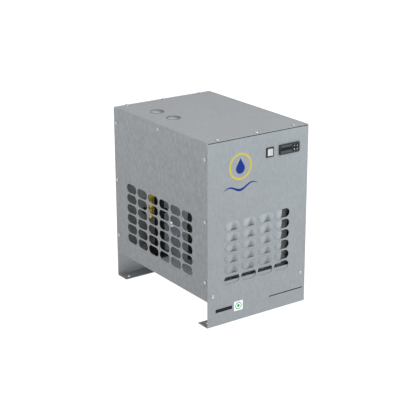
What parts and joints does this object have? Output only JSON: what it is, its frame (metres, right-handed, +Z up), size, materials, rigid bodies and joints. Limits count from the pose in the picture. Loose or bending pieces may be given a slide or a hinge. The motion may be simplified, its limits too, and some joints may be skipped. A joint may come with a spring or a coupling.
{
  "type": "refrigerated air dryer",
  "caption": "Box-shaped refrigerated compressed-air dryer on folded sheet legs, with slotted front and side vents, top air ports, a temperature display and a rocker switch.",
  "frame": {"origin": "centre of the whole outer box, front and rear fittings included, on the floor", "axes": "+Z up, +X to the right as seen from the control face, -Y out of the control face"},
  "size_m": [0.3762, 0.5478, 0.574],
  "materials": {
    "cabinet_paint": "satin",
    "screw_steel": "satin",
    "zinc_sheet": "satin",
    "black_enamel": "satin",
    "black_plastic": "satin",
    "insulation_foam": "matte",
    "filter_fleece": "matte",
    "aluminium": "satin",
    "copper": "satin",
    "brass": "satin",
    "nickel_plate": "satin",
    "rubber": "matte",
    "smoked_window": "gloss",
    "key_grey": "satin",
    "rocker_white": "gloss",
    "cream_plastic": "satin"
  },
  "bodies": {
    "cabinet": {"air_inlet_fitting": "nickel_plate", "air_outlet_fitting": "nickel_plate", "base_tray": "cabinet_paint", "bypass_line": "copper", "bypass_valve": "brass", "cable_gland": "black_plastic", "capillary_tube": "copper", "compressor": "black_enamel", "compressor_grommet_1": "rubber", "compressor_grommet_2": "rubber", "compressor_grommet_3": "rubber", "compressor_grommet_4": "rubber", "compressor_terminal_cover": "black_plastic", "condenser": "aluminium", "controller_body": "black_plastic", "controller_lens": "smoked_window", "discharge_pipe": "copper", "drain_outlet": "brass", "drain_valve": "black_plastic", "exchanger_bracket": "zinc_sheet", "fan_bracket": "zinc_sheet", "fan_motor": "black_enamel", "fan_shroud": "zinc_sheet", "filter_drier": "copper", "filter_mat": "filter_fleece", "front_panel": "cabinet_paint", "front_panel_screw_left": "screw_steel", "front_panel_screw_right": "screw_steel", "heat_exchanger": "insulation_foam", "left_front_screw_1": "screw_steel", "left_front_screw_2": "screw_steel", "left_front_screw_3": "screw_steel", "left_rear_screw_1": "screw_steel", "left_rear_screw_2": "screw_steel", "left_rear_screw_3": "screw_steel", "left_side_panel": "cabinet_paint", "liquid_line": "copper", "rear_panel": "cabinet_paint", "right_front_screw_1": "screw_steel", "right_front_screw_2": "screw_steel", "right_front_screw_3": "screw_steel", "right_rear_screw_1": "screw_steel", "right_rear_screw_2": "screw_steel", "right_rear_screw_3": "screw_steel", "right_side_panel": "cabinet_paint", "separator_riser": "insulation_foam", "start_capacitor": "aluminium", "suction_pipe": "insulation_foam", "switch_body": "black_plastic", "terminal_block": "cream_plastic", "top_cover": "cabinet_paint"},
    "fan": {"fan_blades": "black_plastic"},
    "power_rocker": {"switch_rocker": "rocker_white"},
    "drain_button": {"drain_test_button": "cream_plastic"},
    "timer_on": {"timer_on_knob": "cream_plastic"},
    "timer_off": {"timer_off_knob": "cream_plastic"},
    "key_1": {"controller_key_1": "key_grey"},
    "key_2": {"controller_key_2": "key_grey"},
    "key_3": {"controller_key_3": "key_grey"},
    "key_4": {"controller_key_4": "key_grey"}
  },
  "joints": [
    {"name": "fan_spin", "type": "hinge", "parent": "cabinet", "child": "fan", "pos_m": [-0.0155, -0.19414, 0.225], "axis": [0, 1, 0], "continuous": true},
    {"name": "power_switch", "type": "hinge", "parent": "cabinet", "child": "power_rocker", "pos_m": [0.0396, -0.26784, 0.5108], "axis": [0, 0, 1], "range_deg": [0, 20]},
    {"name": "key_1_press", "type": "slide", "parent": "cabinet", "child": "key_1", "axis": [0, 1, 0], "range_m": [0, 0.0008], "stiffness_N_per_m": 300, "springref_m": -0.0005},
    {"name": "key_2_press", "type": "slide", "parent": "cabinet", "child": "key_2", "axis": [0, 1, 0], "range_m": [0, 0.0008], "stiffness_N_per_m": 300, "springref_m": -0.0005},
    {"name": "key_3_press", "type": "slide", "parent": "cabinet", "child": "key_3", "axis": [0, 1, 0], "range_m": [0, 0.0008], "stiffness_N_per_m": 300, "springref_m": -0.0005},
    {"name": "key_4_press", "type": "slide", "parent": "cabinet", "child": "key_4", "axis": [0, 1, 0], "range_m": [0, 0.0008], "stiffness_N_per_m": 300, "springref_m": -0.0005},
    {"name": "drain_test_press", "type": "slide", "parent": "cabinet", "child": "drain_button", "axis": [0, 0, -1], "range_m": [0, 0.0015], "stiffness_N_per_m": 300, "springref_m": -0.0005},
    {"name": "timer_on_turn", "type": "hinge", "parent": "cabinet", "child": "timer_on", "pos_m": [-0.0536, 0.21086, 0.165], "axis": [0, 0, 1], "range_deg": [-135, 135]},
    {"name": "timer_off_turn", "type": "hinge", "parent": "cabinet", "child": "timer_off", "pos_m": [-0.0384, 0.21086, 0.165], "axis": [0, 0, 1], "range_deg": [-135, 135]}
  ]
}
